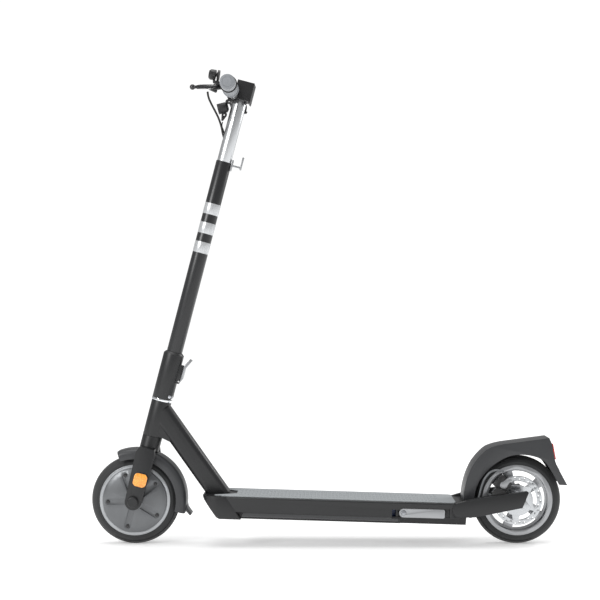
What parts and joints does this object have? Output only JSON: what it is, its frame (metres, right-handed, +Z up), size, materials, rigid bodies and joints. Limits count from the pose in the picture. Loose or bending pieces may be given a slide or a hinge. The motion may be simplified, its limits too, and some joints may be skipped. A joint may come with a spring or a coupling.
{
  "type": "electric kick scooter",
  "caption": "Folding electric kick scooter with a hub motor in the front wheel, a rear disc brake, a low battery deck, a round folding stem and a straight handlebar.",
  "frame": {"origin": "on the ground, under the middle of the scooter's length and width", "axes": "+Z up, -X the way that the scooter rides, +Y to its right side"},
  "size_m": [1.162, 0.444, 1.1509],
  "materials": {
    "frame_paint": "satin powder coat",
    "silver_tube": "anodised satin",
    "bare_steel": "turned",
    "cast_alloy": "cast and painted",
    "hub_cover": "satin",
    "black_plastic": "moulded, fine texture",
    "black_metal": "satin black",
    "tyre": "moulded tread",
    "grip_rubber": "soft moulded",
    "mat_rubber": "textured",
    "black_rubber": "smooth sheath",
    "cable_grey": "smooth sheath",
    "led_blue": "diffuser",
    "orange_lens": "prismatic lens",
    "red_lens": "ribbed lens",
    "white_lens": "prismatic lens",
    "reflective_tape": "glass-bead tape",
    "clear_glass": "clear",
    "display_glass": "polished",
    "battery_wrap": "shrink wrap",
    "copper_windings": "enamelled windings"
  },
  "bodies": {
    "frame": {"main_frame": "frame_paint", "head_bearings": "bare_steel", "deck_nose": "frame_paint", "deck_tray": "frame_paint", "bottom_cover": "black_plastic", "cover_screws": "bare_steel", "deck_mat": "mat_rubber", "led_strips": "led_blue", "battery_pack": "battery_wrap", "controller": "black_plastic", "rear_arms": "frame_paint", "rear_axle": "bare_steel", "rear_fender": "black_plastic", "tail_light": "red_lens", "rear_reflector": "white_lens", "brake_caliper": "black_metal", "rear_brake_cable": "cable_grey", "kickstand_bolt": "bare_steel", "charge_port": "black_plastic"},
    "charge_cap": {"charge_cap": "black_rubber"},
    "kickstand": {"kickstand": "cast_alloy"},
    "brake_arm": {"brake_arm": "bare_steel"},
    "fork": {"fork": "frame_paint", "steerer_tube": "bare_steel", "collar_ring": "silver_tube", "hinge_block": "cast_alloy", "front_axle": "bare_steel", "fork_reflectors": "orange_lens", "front_fender": "black_plastic", "motor_stator": "copper_windings"},
    "front_wheel": {"front_tyre": "tyre", "motor_shell": "cast_alloy", "hub_covers": "hub_cover", "hub_screws": "black_plastic", "motor_bearings": "bare_steel"},
    "rear_wheel": {"rear_tyre": "tyre", "rear_rim": "cast_alloy", "brake_rotor": "bare_steel", "rear_bearings": "bare_steel"},
    "stem": {"fold_sleeve": "frame_paint", "fold_pin": "bare_steel", "stem_tube_lower": "frame_paint", "reflective_bands": "reflective_tape", "stem_tube_upper": "silver_tube", "bag_hook": "silver_tube", "head_housing": "black_plastic", "display_lens": "display_glass", "handlebar": "frame_paint", "grips": "grip_rubber", "brake_perch": "black_metal", "bell_body": "black_plastic", "headlight_housing": "black_plastic", "headlight_lens": "clear_glass", "control_cables": "black_rubber", "throttle_housing": "black_plastic"},
    "brake_lever": {"brake_lever": "black_metal"},
    "throttle_lever": {"throttle_lever": "black_plastic"},
    "fold_lever": {"fold_lever": "cast_alloy"},
    "bell_striker": {"bell_striker": "black_plastic"},
    "power_button": {"power_button": "red_lens"}
  },
  "joints": [
    {"name": "steering", "type": "hinge", "parent": "frame", "child": "fork", "pos_m": [-0.42133, 0, 0.30638], "axis": [0.2521, 0, 0.9677], "range_deg": [-45, 45]},
    {"name": "stem_fold", "type": "hinge", "parent": "fork", "child": "stem", "pos_m": [-0.38939, 0, 0.35955], "axis": [0, 1, 0], "range_deg": [0, 77]},
    {"name": "front_wheel_spin", "type": "hinge", "parent": "fork", "child": "front_wheel", "pos_m": [-0.473, 0, 0.108], "axis": [0, 1, 0], "continuous": true},
    {"name": "rear_wheel_spin", "type": "hinge", "parent": "frame", "child": "rear_wheel", "pos_m": [0.461, 0, 0.108], "axis": [0, 1, 0], "continuous": true},
    {"name": "brake_pull", "type": "hinge", "parent": "stem", "child": "brake_lever", "pos_m": [-0.26572, -0.098, 1.1059], "axis": [-0.1473, -0.0837, 0.9855], "range_deg": [0, 20], "stiffness_Nm_per_rad": 0.8, "springref_deg": -20.05},
    {"name": "brake_arm_pull", "type": "hinge", "parent": "frame", "child": "brake_arm", "pos_m": [0.42441, -0.048, 0.14741], "axis": [0, -1, 0], "range_deg": [0, 25]},
    {"name": "throttle", "type": "hinge", "parent": "stem", "child": "throttle_lever", "pos_m": [-0.23272, 0.096, 1.0779], "axis": [0, 1, 0], "range_deg": [0, 20], "stiffness_Nm_per_rad": 0.08, "springref_deg": -17.19},
    {"name": "fold_latch", "type": "hinge", "parent": "stem", "child": "fold_lever", "pos_m": [-0.36917, 0, 0.39613], "axis": [0, 1, 0], "range_deg": [0, 75]},
    {"name": "bell_strike", "type": "hinge", "parent": "stem", "child": "bell_striker", "pos_m": [-0.26881, -0.0982, 1.13586], "axis": [-0.9848, 0, 0.1736], "range_deg": [0, 30], "stiffness_Nm_per_rad": 0.02, "springref_deg": -17.19},
    {"name": "stand_swing", "type": "hinge", "parent": "frame", "child": "kickstand", "pos_m": [0.18045, -0.0735, 0.08467], "axis": [-0.0052, 0.9848, -0.1736], "range_deg": [0, 120]},
    {"name": "charge_cap_swing", "type": "hinge", "parent": "frame", "child": "charge_cap", "pos_m": [-0.17215, 0.0785, 0.11669], "axis": [0.9995, 0, -0.0301], "range_deg": [0, 110]},
    {"name": "power_press", "type": "slide", "parent": "stem", "child": "power_button", "axis": [-0.2521, 0, -0.9677], "range_m": [0, 0.001], "stiffness_N_per_m": 400, "springref_m": -0.001}
  ],
  "couplings": [
    {"joint": "brake_arm_pull", "follows": "brake_pull", "ratio": 1.25}
  ]
}
